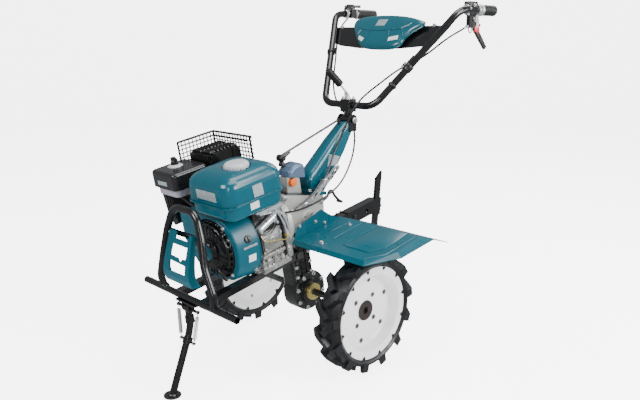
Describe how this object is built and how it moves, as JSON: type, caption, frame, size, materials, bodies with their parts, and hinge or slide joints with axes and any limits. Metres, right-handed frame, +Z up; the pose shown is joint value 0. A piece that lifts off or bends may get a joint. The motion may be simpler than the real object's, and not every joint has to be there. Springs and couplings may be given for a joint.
{
  "type": "rotary tiller",
  "caption": "Walk-behind rotary tiller with a petrol engine, gear case, transport wheels, fenders, front stand and adjustable handlebar.",
  "frame": {"origin": "centre of the footprint of the whole machine at ground level, parked on its stand", "axes": "+Z up, +X to the machine left, -Y to the engine and front stand, +Y to the handlebar grips"},
  "size_m": [0.968, 1.339, 1.25],
  "materials": {
    "black_cast": "painted black",
    "black_paint": "semi-gloss",
    "black_plastic": "gloss",
    "cable_sheath": "satin",
    "cast_aluminium": "as cast",
    "dark_steel": "dark",
    "grey_plastic": "satin",
    "grip_rubber": "matte",
    "orange_plastic": "satin",
    "pale_plastic": "satin",
    "teal_paint": "gloss",
    "teal_plastic": "gloss",
    "tyre_rubber": "matte",
    "white_paint": "semi-gloss",
    "yellow_zinc": "yellow passivated",
    "zinc": "zinc plated"
  },
  "bodies": {
    "chassis": {"air_cleaner": "black_plastic", "air_cleaner_base": "grey_plastic", "axle_flanges": "yellow_zinc", "bell_housing": "cast_aluminium", "bumper_loop": "black_paint", "clutch_cable": "cable_sheath", "column": "teal_paint", "column_base": "black_paint", "column_head": "black_paint", "crankcase": "cast_aluminium", "cross_tube": "black_paint", "cylinder_head": "cast_aluminium", "engage_lever": "dark_steel", "fan_shroud": "teal_paint", "fender_brackets": "black_paint", "fender_left": "teal_paint", "fender_right": "teal_paint", "frame_rail_left": "black_paint", "frame_rail_right": "black_paint", "front_guard": "teal_paint", "fuel_cap": "pale_plastic", "fuel_tank": "teal_paint", "gear_housing": "cast_aluminium", "gearcase": "black_cast", "hitch_bracket": "black_paint", "intake_duct": "black_paint", "link_bar": "zinc", "muffler": "black_paint", "muffler_guard": "black_paint", "oil_plug": "orange_plastic", "recoil_starter": "black_plastic", "selector_cover": "cast_aluminium", "shift_rod": "dark_steel", "stake_holder": "black_paint", "stand_bracket": "black_paint", "throttle_cable": "cable_sheath"},
    "wheel_left": {"axle_shaft_left": "dark_steel", "hub_left": "black_paint", "rim_left": "white_paint", "tyre_left": "tyre_rubber"},
    "wheel_right": {"axle_shaft_right": "dark_steel", "hub_right": "black_paint", "rim_right": "white_paint", "tyre_right": "tyre_rubber"},
    "front_stand": {"stand_leg": "black_paint", "stand_springs": "zinc"},
    "bar_head": {"bar_swivel": "black_paint"},
    "handlebar": {"bar_clamp": "black_paint", "clutch_bracket": "black_paint", "clutch_lever": "black_paint", "console_cover": "teal_plastic", "cross_plate": "black_paint", "grip_left": "grip_rubber", "grip_right": "grip_rubber", "handlebar": "black_paint", "lock_lever": "dark_steel", "lock_lever_grip": "grip_rubber", "throttle_bracket": "black_paint"},
    "drag_stake": {"drag_stake": "black_paint"}
  },
  "joints": [
    {"name": "wheel_left_spin", "type": "hinge", "parent": "chassis", "child": "wheel_left", "pos_m": [0.307, -0.0645, 0.209], "axis": [1, 0, 0], "continuous": true},
    {"name": "wheel_right_spin", "type": "hinge", "parent": "chassis", "child": "wheel_right", "pos_m": [-0.307, -0.0645, 0.209], "axis": [1, 0, 0], "continuous": true},
    {"name": "stand_fold", "type": "hinge", "parent": "chassis", "child": "front_stand", "pos_m": [0, -0.5675, 0.277], "axis": [1, 0, 0], "range_deg": [0, 100]},
    {"name": "handlebar_height", "type": "hinge", "parent": "chassis", "child": "bar_head", "pos_m": [0, 0.1715, 0.813], "axis": [1, 0, 0], "range_deg": [-15, 15], "deforming": ["clutch_cable", "throttle_cable"]},
    {"name": "handlebar_swivel", "type": "hinge", "parent": "bar_head", "child": "handlebar", "pos_m": [0, 0.1765, 0.848], "axis": [0, 0, 1], "range_deg": [-30, 30], "deforming": ["clutch_cable", "throttle_cable"]},
    {"name": "drag_stake_slide", "type": "slide", "parent": "chassis", "child": "drag_stake", "axis": [0, 0.0941, 0.9956], "range_m": [-0.02, 0.12]}
  ]
}
